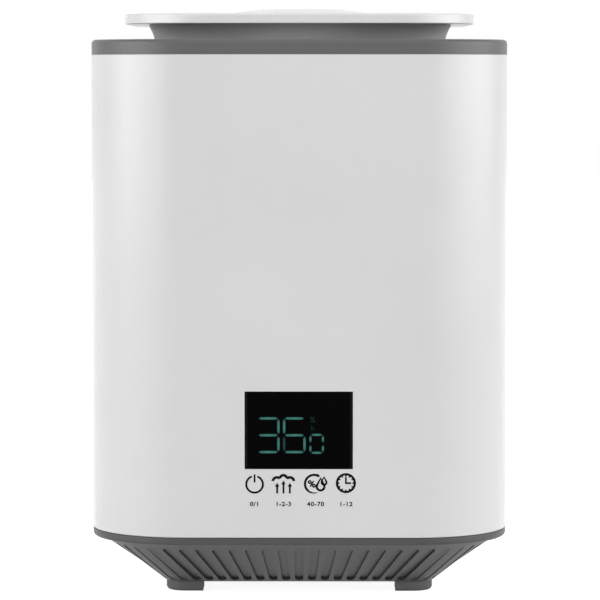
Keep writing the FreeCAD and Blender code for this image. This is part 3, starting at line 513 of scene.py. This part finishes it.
def printed_signs():
    print_ink = ink()
    row_z, label_z, label_height, label_stretch = 56.7 * mm, 47.2 * mm, 2.0 * mm, 1.1
    signs = (
        ("power", power_sign, -20.85 * mm, -0.2 * mm, "0/1"),
        ("mist", mist_sign, -7.25 * mm, 0.0, "1-2-3"),
        ("humidity", humidity_sign, 7.95 * mm, 0.0, "40-70"),
        ("clock", clock_sign, 22.25 * mm, 0.4 * mm, "1-12"),
    )
    for name, draw, x, lift, words in signs:
        front_object("sign_" + name, draw(x, row_z + lift), front_y, print_ink)
        label = [text_mesh(words, (x, label_z), label_height, label_stretch)]
        front_object("label_" + name, label, front_y, print_ink)


# Seven-segment digits in the window

def lit_bar(start, end, width):
    # A bar with slanted ends, brightest in the middle. Its glow fills the range that a tone reads.
    slant_share, tip_share, slant_level, rail_level = 0.8, 0.12, 0.45, 0.75
    a, b = Vector(start), Vector(end)
    along = (b - a).normalized()
    side = Vector((-along.y, along.x)) * width / 2
    slant = along * width * slant_share
    middle = (a + b) / 2
    rails = ((a, 0.0), (a + slant, slant_level), (middle, 1.0), (b - slant, slant_level), (b, 0.0))
    mesh = bpy.data.meshes.new("bar")
    bar = bmesh.new()
    glow = bar.verts.layers.float.new("glow")
    rows = []
    for step, (point, level) in enumerate(rails):
        reach = tip_share if step in (0, len(rails) - 1) else 1.0
        row = []
        for factor in (-1, 0, 1):
            place = point + side * factor * reach
            vertex = bar.verts.new((place.x, -print_height, place.y))
            share = level * (1.0 if factor == 0 else rail_level)
            vertex[glow] = noise_low + (noise_high - noise_low) * share
            row.append(vertex)
        rows.append(row)
    for first, second in zip(rows, rows[1:]):
        for column in range(2):
            bar.faces.new((first[column], second[column], second[column + 1], first[column + 1]))
    rim = bmesh.ops.extrude_edge_only(bar, edges=[e for e in bar.edges if e.is_boundary])["geom"]
    skirt = [item for item in rim if isinstance(item, bmesh.types.BMVert)]
    for vertex in skirt:
        vertex.co.y = 0
    bmesh.ops.holes_fill(bar, edges=[e for e in bar.edges if e.is_boundary])
    bmesh.ops.recalc_face_normals(bar, faces=bar.faces)
    bar.to_mesh(mesh)
    bar.free()
    return mesh


def digit(lit, x, z, width, height, bar):
    # x and z are the digit's lower left corner; the segments are named as on a data sheet.
    left, right = x + bar / 2, x + width - bar / 2
    low, high, middle = z + bar / 2, z + height - bar / 2, z + height / 2
    end_gap, middle_gap = 0.33 * mm, 0.65 * mm
    first, last = left + end_gap, right - end_gap
    ends = {
        "a": ((first, high), (last, high)),
        "b": ((right, high - end_gap), (right, middle + middle_gap)),
        "c": ((right, middle - middle_gap), (right, low + end_gap)),
        "d": ((first, low), (last, low)),
        "e": ((left, middle - middle_gap), (left, low + end_gap)),
        "f": ((left, high - end_gap), (left, middle + middle_gap)),
        "g": ((first, middle), (last, middle)),
    }
    return [lit_bar(*ends[name], bar) for name in lit]


def lit_display():
    teal = glowing("lit_teal", (0.052, 0.202, 0.166))
    weak = glowing("weak_teal", (0.016, 0.058, 0.048))
    dim = glowing("dim_teal", (0.010, 0.042, 0.036))
    bar, width, height, pitch = 1.15 * mm, 10.75 * mm, 17.1 * mm, 12.3 * mm
    x = window_left + 5.8 * mm
    z = window_bottom + 7.55 * mm
    small_x, small_z = window_left + 30.55 * mm, z - 0.25 * mm
    small_bar, small_width, small_height = 1.0 * mm, 6.9 * mm, 9.5 * mm
    parts = digit("abcdg", x, z, width, height, bar)
    parts += digit("acdfg", x + pitch, z, width, height, bar)
    parts += digit("abcdef", small_x, small_z, small_width, small_height, small_bar)
    weak_bar = digit("e", x + pitch, z, width, height, bar)
    units_x, percent_z, hour_z = window_left + 32.1 * mm, z + 16.0 * mm, z + 12.0 * mm
    percent_height, hour_height = 2.6 * mm, 2.4 * mm
    units = [text_mesh("%", (units_x, percent_z), percent_height)]
    units.append(text_mesh("h", (units_x, hour_z), hour_height))
    front_object("display_digits", parts, window_low.y, teal)
    front_object("display_weak_bar", weak_bar, window_low.y, weak)
    front_object("display_units", units, window_low.y, dim)


# Stage: floor, world, lamps and camera

# Brightness of the room's walls at bearings in degrees, and of its ceiling
room_levels = (
    (-180, 0.30), (-124, 0.00), (-90, 2.20), (-75, 3.60), (-60, 3.50), (-30, 2.35), (-18, 0.50), (-8, 0.00),
    (18, 0.00), (30, 1.35), (45, 2.40), (75, 3.50), (90, 3.40), (105, 2.30), (135, 0.00), (180, 0.30),
)
room_peak = 3.60
room_ceiling = 0.05
# Sines of the heights at which the walls begin to fade and the ceiling is reached
walls_end, ceiling_start = 0.3, 0.9

floor_size = 12.0
floor_grey = 0.40
floor_glow = 0.90

lamp_place = (0, -0.40, 0.62)
lamp_aim = (0, 0, 0.2)
lamp_width = 0.9
lamp_depth = 0.25
lamp_power = 0.32


def background_rays(tree):
    # 1 for rays that show the background: from the camera, in reflections and through clear plastic.
    path = add(tree, "ShaderNodeLightPath")
    shown = path.outputs["Is Camera Ray"]
    for kind in ("Is Glossy Ray", "Is Transmission Ray"):
        either = add(tree, "ShaderNodeMath", operation="MAXIMUM")
        tree.links.new(shown, either.inputs[0])
        tree.links.new(path.outputs[kind], either.inputs[1])
        shown = either.outputs["Value"]
    return shown


def floor():
    bpy.ops.mesh.primitive_plane_add(size=floor_size)
    plane = bpy.context.object
    plane.name = "floor"
    material, tree, shader = new_material("floor_white")
    shader.inputs["Base Color"].default_value = (floor_grey, floor_grey, floor_grey, 1)
    shader.inputs["Roughness"].default_value = 0.6
    shader.inputs["Emission Color"].default_value = (1, 1, 1, 1)
    lift = add(tree, "ShaderNodeMath", operation="MULTIPLY")
    lift.inputs[1].default_value = floor_glow
    tree.links.new(background_rays(tree), lift.inputs[0])
    tree.links.new(lift.outputs["Value"], shader.inputs["Emission Strength"])
    plane.data.materials.append(material)


def studio_ramp(tree):
    # The room's brightness by bearing: 0 degrees is the front and +90 the object's +X side.
    place = add(tree, "ShaderNodeTexCoord")
    split = add(tree, "ShaderNodeSeparateXYZ")
    tree.links.new(place.outputs["Generated"], split.inputs["Vector"])
    ahead = add(tree, "ShaderNodeMath", operation="MULTIPLY")
    ahead.inputs[1].default_value = -1.0
    tree.links.new(split.outputs["Y"], ahead.inputs[0])
    bearing = add(tree, "ShaderNodeMath", operation="ARCTAN2")
    tree.links.new(split.outputs["X"], bearing.inputs[0])
    tree.links.new(ahead.outputs["Value"], bearing.inputs[1])
    share = add(tree, "ShaderNodeMapRange")
    share.inputs["From Min"].default_value = -math.pi
    share.inputs["From Max"].default_value = math.pi
    tree.links.new(bearing.outputs["Value"], share.inputs["Value"])
    ramp = add(tree, "ShaderNodeValToRGB")
    stops = ramp.color_ramp.elements
    for degrees, level in room_levels[1:-1]:
        stops.new((degrees + 180) / 360)
    for stop, (degrees, level) in zip(stops, room_levels):
        stop.position = (degrees + 180) / 360
        grey_level = level / room_peak
        stop.color = (grey_level, grey_level, grey_level, 1)
    tree.links.new(share.outputs["Result"], ramp.inputs["Fac"])
    wall = add(tree, "ShaderNodeMath", operation="MULTIPLY")
    wall.inputs[1].default_value = room_peak
    tree.links.new(ramp.outputs["Color"], wall.inputs[0])
    height = add(tree, "ShaderNodeMapRange")
    height.inputs["From Min"].default_value = walls_end
    height.inputs["From Max"].default_value = ceiling_start
    tree.links.new(split.outputs["Z"], height.inputs["Value"])
    room = add(tree, "ShaderNodeMix")
    room.inputs[mix_second].default_value = room_ceiling
    tree.links.new(height.outputs["Result"], room.inputs[mix_share])
    tree.links.new(wall.outputs["Value"], room.inputs[mix_first])
    return room.outputs[mix_out]


def world():
    surround = bpy.data.worlds.new("studio")
    bpy.context.scene.world = surround
    surround.use_nodes = True
    tree = surround.node_tree
    background = tree.nodes["Background"]
    seen = add(tree, "ShaderNodeMath", operation="MAXIMUM")
    tree.links.new(background_rays(tree), seen.inputs[0])
    tree.links.new(studio_ramp(tree), seen.inputs[1])
    tree.links.new(seen.outputs["Value"], background.inputs["Strength"])
    background.inputs["Color"].default_value = (1, 1, 1, 1)


def soft_box():
    lamp = bpy.data.lights.new("top_box", "AREA")
    lamp.shape = "RECTANGLE"
    lamp.size = lamp_width
    lamp.size_y = lamp_depth
    lamp.energy = lamp_power
    holder = bpy.data.objects.new("top_box", lamp)
    holder.location = lamp_place
    holder.rotation_euler = (Vector(lamp_aim) - Vector(lamp_place)).to_track_quat("-Z", "Y").to_euler()
    bpy.context.scene.collection.objects.link(holder)


def camera():
    lens = bpy.data.cameras.new("camera")
    lens.lens = camera_lens
    lens.sensor_width = camera_sensor
    lens.clip_end = camera_reach
    holder = bpy.data.objects.new("camera", lens)
    x = camera_distance * math.sin(camera_yaw)
    y = -camera_distance * math.cos(camera_yaw)
    holder.location = (x, y, camera_height)
    holder.rotation_euler = (math.pi / 2 - camera_pitch, 0, camera_yaw)
    bpy.context.scene.collection.objects.link(holder)
    bpy.context.scene.camera = holder


dress_nodes()
printed_signs()
lit_display()
floor()
world()
soft_box()
camera()
bpy.context.scene.view_settings.view_transform = "Standard"
